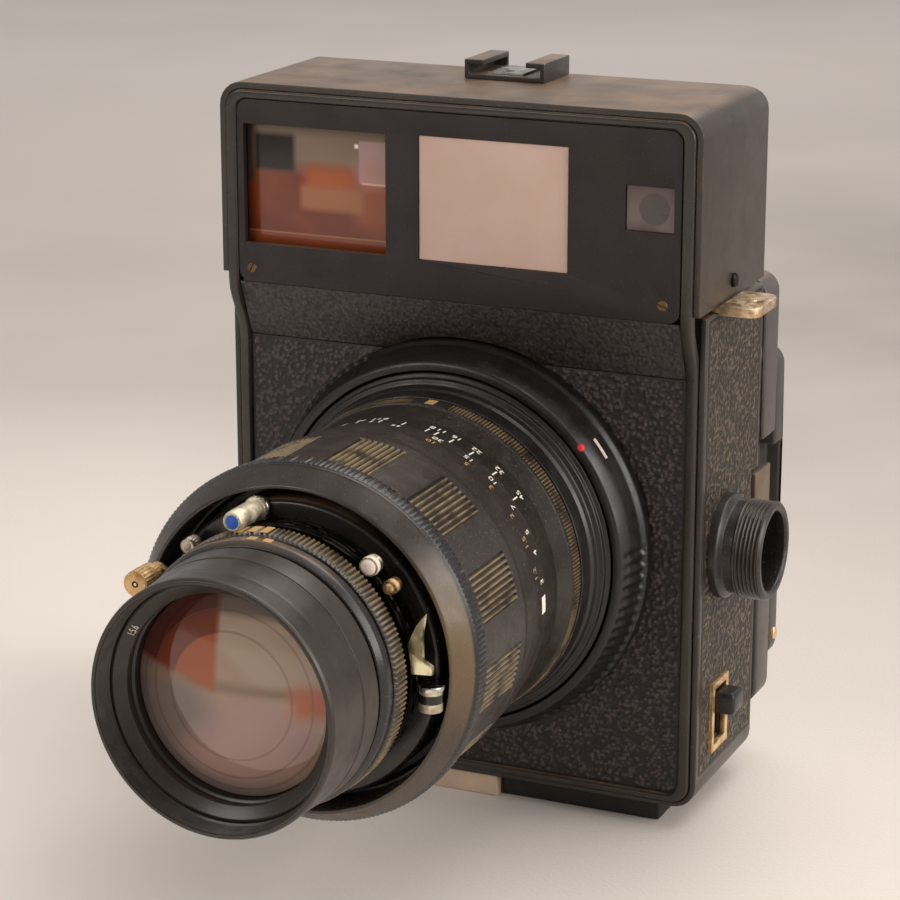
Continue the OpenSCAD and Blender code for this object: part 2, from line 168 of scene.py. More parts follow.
class Finish:
    """A procedural material, built up in layers on one Principled shader."""

    def __init__(self, name, color, roughness, **fixed):
        self.material = bpy.data.materials.new(name)
        self.material.use_nodes = True
        self.tree = self.material.node_tree
        self.shader = self.tree.nodes["Principled BSDF"]
        self.place = self.add("TexCoord").outputs["Object"]
        self.color, self.roughness, self.metallic, self.normal = linear(color), roughness, None, None
        for key, value in fixed.items():
            self.shader.inputs[key.replace("_", " ")].default_value = value

    def add(self, kind, inputs=None, **settings):
        made = self.tree.nodes.new("ShaderNode" + kind)
        for key, value in settings.items():
            setattr(made, key, value)
        for key, value in (inputs or {}).items():
            self.plug(value, made.inputs[key])
        return made

    def plug(self, value, socket):
        if isinstance(value, bpy.types.NodeSocket):
            self.tree.links.new(value, socket)
        else:
            socket.default_value = value

    def between(self, value, low, high):
        """value stretched so that low becomes 0 and high becomes 1."""
        span = {"Value": value, "From Min": low, "From Max": high}
        return self.add("MapRange", span, clamp=True).outputs["Result"]

    def times(self, mask, *others):
        for other in others:
            mask = self.add("Math", {0: mask, 1: other}, operation="MULTIPLY").outputs[0]
        return mask

    def dot(self, vector, way):
        return self.add("VectorMath", {0: vector, 1: way}, operation="DOT_PRODUCT").outputs["Value"]

    def noise(self, size, low=0.4, high=0.6):
        """A mask of soft blotches about size millimetres across."""
        scale = {"Vector": self.place, "Scale": 1 / (size * MM), "Detail": 3.0}
        return self.between(self.add("TexNoise", scale).outputs["Fac"], low, high)

    def from_axis(self):
        """The vector from the lens axis to the surface, and its length."""
        centre = self.add("VectorMath", {0: self.place, 1: (0, 0, AXIS_Z * MM)}, operation="SUBTRACT")
        flat = self.add("VectorMath", {0: centre.outputs[0], 1: (1, 0, 1)}, operation="MULTIPLY").outputs[0]
        return flat, self.add("VectorMath", {0: flat}, operation="LENGTH").outputs["Value"]

    def span(self, value, low, high, soft):
        """A mask of the places where value is between low and high millimetres."""
        return self.times(self.between(value, (low - soft) * MM, (low + soft) * MM),
                          self.between(value, (high + soft) * MM, (high - soft) * MM))

    def band(self, start, end, soft=0.3):
        """A mask of the places between two radii from the lens axis, in millimetres."""
        return self.span(self.from_axis()[1], start, end, soft)

    def sector(self, turn, spread, soft=14):
        """A mask of the lens's face within spread degrees of the side that turn points to."""
        unit = self.add("VectorMath", {0: self.from_axis()[0]}, operation="NORMALIZE").outputs[0]
        limits = [facing(angle)[0] for angle in (spread + soft, max(0, spread - soft))]
        return self.between(self.dot(unit, facing(turn)), *limits)

    def half(self, turn, offset, soft=0.8):
        """A mask of the lens's face on the side that turn points to, offset millimetres from the axis."""
        reach = self.dot(self.from_axis()[0], facing(turn))
        return self.between(reach, (offset - soft) * MM, (offset + soft) * MM)

    def window(self, x0, x1, z0, z1, soft):
        """A mask of an upright rectangle, in millimetres."""
        place = self.add("SeparateXYZ", {0: self.place}).outputs
        return self.times(self.span(place["X"], x0, x1, soft), self.span(place["Z"], z0, z1, soft))

    def height(self, low, high):
        """A mask that grows from 0 at height low to 1 at height high, in metres."""
        return self.between(self.add("SeparateXYZ", {0: self.place}).outputs["Z"], low, high)

    def turned(self, size):
        """A mask of fine lathe lines about the lens axis, size millimetres apart."""
        depth = self.add("SeparateXYZ", {0: self.place}).outputs["Y"]
        lines = self.add("CombineXYZ", {"X": self.from_axis()[1], "Y": depth}).outputs[0]
        texture = self.add("TexNoise", {"Vector": lines, "Scale": 1 / (size * MM), "Detail": 2.0})
        return self.between(texture.outputs["Fac"], 0.35, 0.65)

    def crest(self):
        """The mask that a ribbed piece carries: 1 on the tops of its ribs."""
        return self.add("Attribute", attribute_name="crest").outputs["Fac"]

    def edges(self, radius):
        """A mask of the outward edges, radius millimetres wide."""
        soft = self.add("Bevel", {"Radius": radius * MM}, samples=4).outputs[0]
        return self.between(self.dot(soft, self.add("NewGeometry").outputs["Normal"]), 0.99, 0.9)

    def upward(self):
        """A mask of the faces that look up."""
        normal = self.add("NewGeometry").outputs["Normal"]
        return self.between(self.add("SeparateXYZ", {0: normal}).outputs["Z"], 0.75, 1.0)

    def tint(self, color, *masks):
        """The colour changes to color where all the masks are 1."""
        mix = self.add("Mix", {0: self.times(*masks), 6: self.color, 7: linear(color)}, data_type="RGBA")
        self.color = mix.outputs[2]
        return self

    def roughen(self, roughness, *masks):
        """The roughness changes where all the masks are 1."""
        mask = self.times(*masks)
        self.roughness = self.add("Mix", {0: mask, 2: self.roughness, 3: roughness}).outputs[0]
        return self

    def wear(self, color, roughness, *masks):
        """The coating is gone and bare metal shows where all the masks are 1."""
        self.metallic = self.times(*masks)
        return self.tint(color, self.metallic).roughen(roughness, self.metallic)

    def bump(self, height, depth):
        """The surface rises by depth millimetres where height is 1."""
        inputs = {"Height": height, "Distance": depth * MM}
        if self.normal:
            inputs["Normal"] = self.normal
        self.normal = self.add("Bump", inputs).outputs[0]
        return self

    def done(self):
        for key, value in (("Base Color", self.color), ("Roughness", self.roughness),
                           ("Metallic", self.metallic), ("Normal", self.normal)):
            if value is not None:
                self.plug(value, self.shader.inputs[key])
        return self.material


def finish_floor():
    """Pale paper with painted shade: darker past the foreground, to the right and behind the camera, with a
    painted shadow on the right, and painted light again far away.
    """
    paper = Finish("floor_paper", (252, 244, 237), 0.8)
    distance = paper.dot(paper.place, FLOOR_AHEAD)
    right = paper.between(paper.dot(paper.place, FLOOR_ACROSS), -0.12, 0.3)
    # Painted shade and light: darker past the foreground, to the right, behind, and in a painted shadow on the
    # right, then painted lighter far away.
    paper.tint((230, 222, 214), paper.between(distance, -0.15, 0.05))
    paper.tint((190, 181, 174), right)
    paper.tint((184, 177, 171), paper.between(distance, 0.12, 0.38))
    paper.tint((146, 140, 134), right, paper.between(distance, 0, 0.3))
    paper.tint((222, 215, 210), paper.between(distance, 0.6, 1.25))
    return paper.tint((206, 198, 190), paper.noise(220), 0.3).bump(paper.noise(1.2), 0.02).done()


def paint(name, color, roughness, peel=0.012, wear_width=0.35, bare=PALE_BRASS, dusty=0.4):
    """Baked enamel on metal: orange peel, dull and rubbed patches, dust specks, a lighter and warmer top, worn
    edges.
    """
    coat = Finish(name, color, roughness)
    coat.tint(lighter(color, 1.25), coat.noise(18, 0.35, 0.7))
    # Upward faces are tinted lighter and warmer in patches.
    coat.tint(UPWARD_TINT, coat.upward(), coat.noise(13, 0.1, 0.75))
    coat.roughen(roughness + 0.12, coat.noise(11, 0.45, 0.65))
    coat.tint(DUST, coat.noise(0.5, 0.66, 0.72), dusty)
    if wear_width:
        coat.wear(bare, 0.34, coat.edges(wear_width), coat.noise(7, 0.52, 0.62))
    return coat.bump(coat.noise(0.45), peel).done()


def anodised(name, color, roughness, lines=0.35, dusty=0.4, worn=1.0):
    """Dyed, machined aluminium: fine lathe lines, finger marks and dust."""
    coat = Finish(name, color, roughness)
    coat.tint(lighter(color, 1.35), coat.noise(9, 0.4, 0.7))
    coat.roughen(roughness + 0.13, coat.noise(6, 0.42, 0.62))
    coat.tint(DUST, coat.noise(0.45, 0.64, 0.72), dusty)
    coat.wear(BARE_STEEL, 0.3, coat.edges(0.3), coat.noise(4, 0.5, 0.6), worn)
    return coat.bump(coat.turned(lines), 0.006).bump(coat.noise(0.3), 0.004).done()


def ribbed(name, color, roughness, bare):
    """Dyed aluminium whose rib tops take the colour bare: rubbed through on the lens rings, a painted sheen on the
    grip boss's thread.
    """
    coat = Finish(name, color, roughness)
    coat.roughen(roughness + 0.12, coat.noise(5, 0.42, 0.62))
    coat.tint(DUST, coat.noise(0.4, 0.62, 0.72), 0.5)
    coat.tint(bare, coat.crest(), coat.noise(5, 0.3, 0.55))
    return coat.bump(coat.turned(0.3), 0.006).bump(coat.noise(0.25), 0.006).done()


def leather(name, color, size, modelled=True):
    """Leatherette with glossy pebbles whose tops carry painted highlights: modelled ones, or fine ones of size
    millimetres.
    """
    skin = Finish(name, lighter(color, 0.36), 0.5)
    cells = skin.add("TexVoronoi", {"Vector": skin.place, "Scale": 1 / (size * MM)}, feature="SMOOTH_F1")
    grain = skin.between(cells.outputs["Distance"], 0.7, 0.0)
    top = skin.crest() if modelled else grain
    # Painted highlights: the pebble tops are painted lighter than the darkened base, with brighter painted glints
    # in patches.
    skin.tint(lighter(color, 2.3), top)
    skin.tint(lighter(color, 3.4), top, skin.noise(0.9, 0.4, 0.62))
    skin.roughen(0.2, top, skin.noise(4, 0.3, 0.55))
    skin.tint(DUST, skin.noise(0.4, 0.64, 0.7), 0.3)
    return skin.bump(grain, 0.05 if modelled else 0.1).bump(skin.noise(0.12), 0.015).done()


def metal(name, color, roughness, stain=None, black_within=0):
    """Bare or plated metal: fine grain, tarnish and small pits; black near the lens axis if asked."""
    bare = Finish(name, color, roughness, Metallic=1.0)
    bare.tint(stain or lighter(color, 0.62), bare.noise(3.5, 0.45, 0.6))
    bare.roughen(roughness + 0.2, bare.noise(2.2, 0.42, 0.6))
    bare.tint(lighter(color, 0.3), bare.noise(0.35, 0.63, 0.7))
    if black_within:
        bare.tint((34, 32, 31), bare.band(0, black_within, 0.1))
    return bare.bump(bare.noise(0.3), 0.012).done()


def glass(name, color, film=0):
    """Clear glass with a faint wipe mark; film is its coating's thickness in nanometres."""
    clear = Finish(name, color, 0.0, Transmission_Weight=1.0, IOR=1.52,
                   Thin_Film_Thickness=film, Thin_Film_IOR=1.7)
    return clear.roughen(0.02, clear.noise(6, 0.5, 0.8)).done()


def plastic(name, color, roughness, depth=0.01):
    """Moulded plastic or ink: even colour with a fine mould grain."""
    shell = Finish(name, color, roughness)
    shell.tint(lighter(color, 1.2), shell.noise(5, 0.4, 0.7))
    shell.roughen(roughness + 0.1, shell.noise(3, 0.4, 0.65))
    return shell.bump(shell.noise(0.4), depth).done()


def make_finishes():
    """The material of every slot in the record, and of the small printed marks."""
    made = [
        paint("body_paint", (50, 43, 38), 0.34),
        paint("frame_paint", (46, 40, 35), 0.26, 0.006, 0.3, dusty=0.15),
        paint("panel_black", (28, 20, 19), 0.55, 0.01, 0.0, dusty=0.15),
        leather("front_leatherette", (44, 35, 34), 0.5),
        leather("band_leatherette", (36, 30, 29), 0.9, False),
        # side_leatherette is a lighter, warmer copy of the front leatherette, with painted light for the sides.
        leather("side_leatherette", (56, 46, 35), 0.5),
        paint("adapter_paint", (70, 63, 61), 0.4, bare=BARE_STEEL),
        paint("cover_black", (58, 54, 50), 0.42, bare=BARE_STEEL),
        plastic("feet_black", (26, 24, 24), 0.6),
        plastic("inner_black", (18, 17, 17), 0.7),
        plastic("eyepiece_plastic", (24, 23, 23), 0.42),
        paint("shutter_enamel", (24, 21, 21), 0.24, 0.004, 0.2),
        anodised("black_anodised", (19, 17, 17), 0.3, dusty=0.2),
        anodised("barrel_black", (39, 32, 25), 0.3, 0.3, 0.15, 0.25),
        ribbed("focus_anodised", (44, 38, 35), 0.32, (128, 112, 84)),
        ribbed("scale_black", (34, 29, 25), 0.28, (122, 102, 72)),
        finish_flange(),
        anodised("slide_bronze", (92, 78, 62), 0.45),
        metal("ivory_metal", (236, 228, 190), 0.3, stain=(206, 196, 152), black_within=LEVER_HOOP),
        metal("arm_chrome", (205, 198, 186), 0.2, black_within=LEVER_HOOP),
        metal("arm_brass", BRASS, 0.3, stain=(160, 124, 88), black_within=LEVER_HOOP),
        metal("plated_steel", (176, 172, 166), 0.26),
        paint("pale_plate", (196, 172, 150), 0.4),
        metal("satin_chrome", (226, 214, 190), 0.5),
        paint("shoe_metal", (46, 40, 36), 0.3, 0.006, 0.28, bare=(170, 160, 146)),
        metal("screws", (128, 102, 78), 0.36),
        metal("dark_screws", (58, 50, 42), 0.4),
        metal("lug_metal", (218, 196, 165), 0.34, stain=(188, 156, 120)),
        metal("socket_brass", (208, 174, 126), 0.42, stain=(164, 130, 88)),
        metal("worn_brass", BRASS, 0.42, stain=(206, 170, 126)),
        metal("mirror", (210, 212, 214), 0.05),
        glass("clear_glass", (1, 1, 1, 1)),
        finish_coated(),
        glass("amber_coated", (1, 0.94, 0.88, 1), film=237),
        glass("rose_coated", (1, 0.95, 0.92, 1), film=180),
        plastic("grey_glass", (98, 84, 82), 0.12, depth=0.0),
        finish_frosted(),
        finish_amber(),
        finish_finder_view(),
        finish_lining(),
        plastic("lens_grey", (72, 66, 60), 0.2, depth=0.0),
        # boss_black's brown crest tint is a painted sheen on the ridges of the thread.
        ribbed("boss_black", (36, 31, 29), 0.32, (58, 45, 38)),
        metal("bright_steel", (225, 222, 216), 0.12),
        plastic("white_enamel", (214, 200, 190), 0.2, depth=0.002),
        plastic("white_ink", (226, 220, 208), 0.5, depth=0.004),
        plastic("gold_ink", (176, 142, 92), 0.4, depth=0.004),
        plastic("red_ink", (196, 22, 24), 0.35, depth=0.004),
        plastic("blue_ink", (28, 92, 190), 0.3, depth=0.004),
    ]
    return {material.name.split(".")[0]: material for material in made}


def finish_frosted():
    """Frosted plastic that scatters the light behind it."""
    pane = Finish("frosted_glass", (209, 183, 172), 0.36, Subsurface_Weight=0.25,
                  Subsurface_Radius=(0.004, 0.003, 0.002))
    return pane.tint((205, 174, 159), pane.noise(16, 0.35, 0.65)).bump(pane.noise(0.5), 0.004).done()


def finish_flange():
    """A worn satin cone with painted reflections, bronze towards the grip side and grey lower down, inside a black
    milled rim.
    """
    coat = Finish("flange_satin", (48, 42, 37), 0.26)
    coat.tint((58, 50, 44), coat.noise(9, 0.4, 0.7))
    # Painted reflections: a bronze sector towards the grip side and a grey sector lower down.
    coat.tint((98, 80, 54), coat.sector(8, 20))
    coat.tint((72, 62, 54), coat.sector(-58, 26))
    coat.tint((24, 21, 22), coat.band(41.2, 60, 0.15))
    coat.roughen(0.38, coat.noise(6, 0.42, 0.62))
    coat.tint(DUST, coat.noise(0.45, 0.64, 0.72), 0.3)
    coat.wear(BARE_STEEL, 0.3, coat.edges(0.3), coat.noise(4, 0.52, 0.62))
    return coat.bump(coat.turned(0.35), 0.006).bump(coat.noise(0.3), 0.004).done()


def finish_coated():
    """Coated glass with painted reflections: a mauve veil over the elements behind it, broken by painted warm
    patches and faint painted rings.
    """
    veil = Finish("coated_glass", (128, 112, 106), 0.05, Transmission_Weight=0.3, IOR=1.5)
    # Every tint here is a painted reflection fixed on the glass: warm and pale patches, an amber wedge, and darker
    # rings where rims behind would show.
    veil.tint((142, 125, 117), veil.noise(12, 0.35, 0.65), 0.6)
    veil.tint((176, 148, 128), veil.half(42, -5, 4))
    veil.tint((182, 148, 140), veil.half(-52, 3, 4), veil.band(0, 20, 2))
    veil.tint((186, 164, 144), veil.half(52, 7, 1.5), veil.half(2, -3, 1.5))
    veil.tint((146, 122, 102), veil.half(90, 1, 1), veil.half(270, -3.4, 1))
    veil.tint((196, 112, 78), veil.half(0, 14, 2), veil.half(90, -3, 2), veil.half(270, -4, 2))
    veil.tint((112, 100, 92), veil.half(88, 18, 1), 0.9)
    painted_wedge = veil.times(veil.half(76, 0.2), veil.half(180, 3))
    veil.tint((172, 92, 54), painted_wedge)
    veil.tint((126, 64, 46), painted_wedge, veil.band(14, 19))
    veil.tint((94, 48, 40), painted_wedge, veil.band(19, 24))
    for radius in (14.2, 18.6, 21.4):
        veil.tint((74, 62, 58), veil.band(radius, radius + 0.3, 0.25), 0.5)
    return veil.roughen(0.1, veil.noise(6, 0.5, 0.8)).done()


def finish_finder_view():
    """The finder's coated front lens, with painted reflections: grey above and amber below."""
    low, high = size_of("viewfinder_window")
    view = Finish("finder_view", (112, 48, 30), 0.12)
    view.tint((136, 68, 36), view.noise(14, 0.4, 0.6), 0.6)
    # Painted reflections as soft rectangles, with a small white painted highlight and a dark patch for the opening
    # behind.
    for x0, x1, z0, z1, soft, color in (
            (-1, 2, 0.64, 2, 2.2, (132, 114, 98)), (0.74, 1.1, 0.2, 0.6, 2, (146, 76, 46)),
            (0.40, 0.74, 0.46, 0.66, 1.8, (166, 84, 40)), (0.37, 0.80, 0.31, 0.50, 0.9, (160, 102, 68)),
            (0.05, 0.33, 0.60, 0.90, 0.8, (44, 37, 33)), (-0.1, 0.05, 0.5, 1, 1, (78, 62, 54)),
            (0.77, 0.985, 0.55, 0.89, 0.3, (176, 146, 142)), (0.77, 0.985, 0.55, 0.72, 2.5, (178, 134, 124)),
            (0.79, 0.985, 0.545, 0.56, 0.15, (224, 178, 152)), (-1, 2, -1, 0.1, 0.3, (134, 66, 42)),
            (-1, 2, 0.1, 0.112, 0.15, (166, 106, 80)), (0.74, 0.765, 0.83, 0.86, 0.25, (255, 246, 240))):
        view.tint(color, view.window(mean(low.x, high.x, x0), mean(low.x, high.x, x1),
                                     mean(low.z, high.z, z0), mean(low.z, high.z, z1), soft))
    return view.roughen(0.24, view.noise(7)).done()


def finish_lining():
    """The inside of the finder, coloured as a painted reflection: red-brown below, grey above."""
    low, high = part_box("viewfinder_tunnel")
    lining = Finish("finder_lining", (112, 54, 34), 0.3)
    lining.tint((150, 80, 42), lining.noise(11, 0.45, 0.6), 0.5)
    # Painted reflection: the walls turn grey towards the top.
    lining.tint((96, 84, 78), lining.height(mean(low.z, high.z), mean(low.z, high.z, 0.75)))
    return lining.roughen(0.4, lining.noise(5)).done()


def finish_amber():
    """A partly silvered plate with a warm coating, and a painted reflection that turns grey towards the top."""
    low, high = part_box("beam_splitter")
    plate = Finish("amber_mirror", (120, 56, 28), 0.12, Metallic=0.55)
    # Painted reflection: the plate turns grey towards the top.
    plate.tint((128, 116, 104), plate.height(mean(low.z, high.z, 0.55), mean(low.z, high.z, 0.8)))
    plate.tint((186, 104, 50), plate.noise(9, 0.45, 0.6), 0.6)
    return plate.roughen(0.25, plate.noise(7)).done()


# ---- mesh tools


def new_object(name, data):
    made = bpy.data.objects.new(name, data)
    bpy.context.scene.collection.objects.link(made)
    return made


def smooth(mesh, angle=32):
    """Smooth shading that keeps the edges that bend by more than angle degrees."""
    mesh.shade_smooth()
    mesh.set_sharp_from_angle(angle=math.radians(angle))


def dress(piece, body, slot, finish, *nodes):
    """The piece rides on body, takes the material finish, and stands for nodes; slot is not used."""
    piece.data.materials.clear()
    piece.data.materials.append(FINISHES[finish])
    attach(piece, body)
    if nodes:
        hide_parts(*nodes)
    return piece


def body_of(node):
    return NODES[node]["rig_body"]


def shell(node, slot, width, finish=None):
    """The node's own shape with its edges rounded to width millimetres."""
    mesh = NODES[node].data.copy()
    work = bmesh.new()
    work.from_mesh(mesh)
    bmesh.ops.remove_doubles(work, verts=work.verts, dist=0.00002)
    bmesh.ops.dissolve_limit(work, angle_limit=math.radians(0.6), verts=work.verts, edges=work.edges)
    work.to_mesh(mesh)
    work.free()
    piece = new_object(node + "_shell", mesh)
    bevel = piece.modifiers.new("round", "BEVEL")
    bevel.width = width * MM
    bevel.segments = 3
    bevel.limit_method = "ANGLE"
    bevel.angle_limit = math.radians(30)
    bevel.miter_outer = "MITER_ARC"
    piece.data = bpy.data.meshes.new_from_object(piece.evaluated_get(bpy.context.evaluated_depsgraph_get()))
    piece.modifiers.clear()
    smooth(piece.data, 40)
    return dress(piece, body_of(node), slot, finish or slot, node)


def rounded(section):
    """Points of a section of corners (radius, station) or (radius, station, rounding)."""
    points = []
    count = len(section)
    for index, (radius, station, *rounding) in enumerate(section):
        here = Vector((radius, station))
        before = Vector(section[index - 1][:2]) - here
        after = Vector(section[(index + 1) % count][:2]) - here
        if not any(rounding):
            points.append(here)
            continue
        reach = min(rounding[0], before.length * 0.45, after.length * 0.45)
        start, end = here + before.normalized() * reach, here + after.normalized() * reach
        for step in range(5):
            t = step / 4
            points.append(start * (1 - t) ** 2 + here * 2 * t * (1 - t) + end * t * t)
    return points


def mean(a, b, t=0.5):
    return a + (b - a) * t


def on_lens(radius, angle, station):
    """A place on the lens, from radius, angle in degrees and station, in metres."""
    turn = math.radians(angle)
    return Vector((radius * math.cos(turn), PANEL_Y - station, AXIS_Z + radius * math.sin(turn))) * MM


def loft(name, rings, loop=True, capped=False):
    """A mesh through closed rings of points; loop joins the last ring to the first."""
    count, verts, faces = len(rings[0]), [point for ring in rings for point in ring], []
    for step in range(len(rings) if loop else len(rings) - 1):
        a, b = step * count, (step + 1) % len(rings) * count
        faces += [(a + i, a + (i + 1) % count, b + (i + 1) % count, b + i) for i in range(count)]
    if capped:
        faces += [tuple(range(count)), tuple(range(len(verts) - count, len(verts)))]
    mesh = bpy.data.meshes.new(name)
    mesh.from_pydata(verts, [], faces)
    return mesh


def tidy(mesh):
    """Joins doubled points, turns the faces outward and shades the mesh."""
    work = bmesh.new()
    work.from_mesh(mesh)
    bmesh.ops.remove_doubles(work, verts=work.verts, dist=0.000002)
    bmesh.ops.recalc_face_normals(work, faces=work.faces)
    work.to_mesh(mesh)
    work.free()
    smooth(mesh)
    return mesh


def turn_mesh(name, points, steps, place, relief=None):
    """A mesh turned from points (radius, station); place maps (radius, angle, station) to space."""
    rings, crest = [], []
    for step in range(steps):
        angle = 360 * step / steps
        rises = [relief(angle, *point) if relief else (0, 0) for point in points]
        rings.append([place(r + rise[0], angle, z) for (r, z), rise in zip(points, rises)])
        crest += [rise[1] for rise in rises]
    mesh = loft(name, rings)
    if relief:
        put_crest(mesh, crest)
    return tidy(mesh)


def around(origin, axis):
    """A place function for a part turned about an axis through origin, both in millimetres."""
    forward = Vector(axis).normalized()
    side = forward.orthogonal().normalized()
    up = forward.cross(side)

    def place(radius, angle, station):
        turn = math.radians(angle)
        return (Vector(origin) + forward * station + (side * math.cos(turn) + up * math.sin(turn)) * radius) * MM
    return place


def spindle(name, body, slot, finish, origin, axis, section, steps=48, relief=None):
    """A small turned part on any axis."""
    mesh = turn_mesh(name, rounded(section), steps, around(origin, axis), relief)
    return dress(new_object(name, mesh), body, slot, finish)


def put_crest(mesh, values):
    """Stores the rib-top mask on the mesh's points."""
    mask = mesh.attributes.new("crest", "FLOAT", "POINT")
    mask.data.foreach_set("value", values)


def ring(name, node, slot, section, steps=192, relief=None, finish=None):
    """A turned piece on the lens axis that stands for node."""
    mesh = turn_mesh(name, rounded(section), steps, on_lens, relief)
    return dress(new_object(name, mesh), body_of(node), slot, finish or slot, node)


def ribs(where, period, depth, duty=0.4, ramp=0.25, marked=True, start=0):
    """A relief of ribs wherever where(angle, radius, station) is true: how far it sinks, and its crest."""
    def relief(angle, radius, station):
        if not where(angle, radius, station):
            return 0, 0
        phase = ((angle - start) / period) % 1
        top = min(1, max(0, min(phase, duty + ramp - phase) / ramp))
        return -depth * (1 - top), top * marked
    return relief


# ---- the lens


def on_pad(angle, radius, station):
    """Whether a place on the focus ring is on one of its twelve ribbed pads."""
    return radius >= 40.5 and 54.4 < station < 73.8 and (angle - 71.5) % 30 <= 16


def make_focus_ring():
    """The focus ring, with eight ribs on each pad."""
    ring("focus_grip", "focus_ring", "focus_anodised", [
        (36.3, 34.6, 0.2), (39.1, 34.6, 0.25), (40.15, 43.2, 0.2), (40.35, 43.6, 0.15), (40.6, 49.6, 0.3),
        (41, 51.6, 0.2), (41, 54.3), (41, 54.6), (41, 73.6), (41, 73.9), (41, 75, 0.2),
        (36.3, 75, 0.2)], 1080, ribs(on_pad, 2, 0.75, 0.45, 0.2, start=71.5))


def breech_relief(angle, radius, station):
    """Shallow scallops in two sectors of the rim's slope, for the fingers."""
    inside = (angle + 62) % 180
    if radius < 47.3 or station < -3 or inside > 68:
        return 0, 0
    dip = 0.5 - 0.5 * math.cos(math.radians(inside * 360 / 3.4))
    return -0.5 * dip, 0


def make_lens_rings():
    """The rings between the camera and the shutter."""
    ring("breech_lock_ring", "breech_ring", "black_anodised", [
        (44.4, -6, 0.2), (50, -6, 0.2), (50, -3.6, 0.8), (48.9, -2.2, 0.6), (47.9, 2.6, 1.2), (46.4, 5.9, 1.0),
        (44.4, 6, 0.3)], 960, breech_relief)
    ring("lens_mount_tube", "lens_base", "black_anodised", [
        (33.2, -1.2), (44, -1.2, 0.2), (44, 5.8, 0.5), (42.9, 6.4, 0.2), (42.7, 7.5, 0.3), (41.4, 7.8, 0.4),
        (41.1, 9.6, 0.3), (40.5, 10.4, 0.2), (40.3, 15, 0.2), (36, 15), (36, 70, 0.2), (33.2, 70, 0.2)])

    def knurled(angle, radius, station):
        return radius > 39.7 and 15.3 < station < 19.3 and not 80 < angle < 94
    ring("depth_scale", "depth_scale_ring", "scale_black", [
        (36.1, 15.1), (39.8, 15.1), (40, 15.35), (40, 19.1), (39.8, 19.35), (39.4, 19.6, 0.1),
        (38.25, 26, 0.4), (38.8, 34.2, 0.2), (36.1, 34.2)], 1440, ribs(knurled, 1.25, 0.3))
    ring("focus_rim", "focus_flange", "flange_satin", [
        (36.9, 75.1), (41.4, 75.1), (42, 75.7), (42, 79.5), (41.55, 80.1, 0.2), (41.4, 80.5, 0.3),
        (37.9, 85.4, 0.3), (37.2, 85.5, 0.2), (36.9, 84.4)], 800,
        ribs(lambda angle, radius, station: radius >= 41.5 and station <= 79.7, 1.65, 0.22, marked=False))
    ring("helicoid_tube", "head_tube", "inner_black", [
        (29.4, 34), (32.9, 34, 0.2), (32.9, 71.9), (29.4, 71.9)])


def make_shutter():
    """The shutter's case and its two dials."""
    ring("shutter_body", "shutter_case", "shutter_enamel", [
        (21, 72), (34.4, 72, 0.2), (34.4, 83.2, 0.5), (33.6, 84, 0.3), (28.5, 84), (28.5, 92, 0.2),
        (22, 92), (22, 90), (26, 90), (26, 82), (21, 82), (21, 80), (31, 80),
        (31, 74.5), (21, 74.5)])
    ring("speed_knurl", "speed_ring", "scale_black", [
        (23, 92.4), (30.2, 92.4), (31, 93.2), (31, 98), (30.3, 98.7, 0.2), (23, 98.8)], 960,
        ribs(lambda angle, radius, station: radius >= 30.8, 2.25, 0.4))
    ring("aperture_dial", "aperture_ring", "shutter_enamel", [
        (23, 99.1), (30, 99.1, 0.2), (30.6, 99.9, 0.2), (30.6, 102, 0.4), (29.6, 103.6, 0.3), (23, 103.6)])


def make_front_barrel():
    """The front barrel with its filter thread, steps down to the glass and a plain name ring."""
    outer = [(21.2, 92.1), (22.7, 92.1), (22.7, 103.9), (29.2, 103.9, 0.2), (29.6, 104.7, 0.3),
             (29.3, 110.6, 0.1), (29.05, 110.8, 0.05), (29.05, 111.3, 0.05), (29.25, 111.5, 0.1),
             (28.9, 117.6, 0.3), (28.8, 118.4, 0.1), (28.8, 123.7, 0.3), (28.3, 124.6, 0.3), (27.55, 124.6, 0.15)]
    pitch = 0.75
    thread = []
    for turn in range(6):
        top = 124.2 - pitch * turn
        thread += [(27.5, top, 0), (27.1, top - pitch / 2, 0)]
    inner = [(27.5, 119.6), (26.9, 119.2, 0.1), (26.9, 116.6), (24.2, 116.6, 0.1), (24.2, 114.6, 0.1),
             (23.6, 114.2, 0.1), (23.6, 108), (21.2, 108)]
    ring("front_rim", "front_barrel", "black_anodised", outer + thread + inner, 288, finish="barrel_black")
    ring("plain_name_ring", "name_ring", "scale_black", [
        (23.5, 116.8), (26.8, 116.8), (26.8, 119.3, 0.15), (26, 119.35, 0.2), (23.6, 117.6, 0.15)],
        finish="barrel_black")


def make_glass():
    """Two groups of lens elements as true ground surfaces."""
    def element(name, node, radius, back, front, sag, back_sag, finish="coated_glass"):
        rings = 14
        face = lambda swell, t: swell * (1 - t * t)
        outline = [(radius * t / rings, front + face(sag, t / rings)) for t in range(rings + 1)]
        outline += [(radius * t / rings, back - face(back_sag, t / rings)) for t in range(rings, -1, -1)]
        mesh = turn_mesh(name, outline, 128, on_lens)
        dress(new_object(name, mesh), body_of(node), "coated_glass", finish, node)
    element("front_glass", "front_element", 23.3, 108.4, 112.4, 3.95, -1.5)
    element("middle_glass", "middle_element", 20.6, 96.2, 100, 1.9, -1.2, "amber_coated")
    element("rear_glass", "rear_element", 18.9, 44.1, 64, -2.2, 2.3, "rose_coated")


# ---- the body


def size_of(node):
    """The lowest and highest corner of a node, in millimetres."""
    low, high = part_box(node)
    return low / MM, high / MM


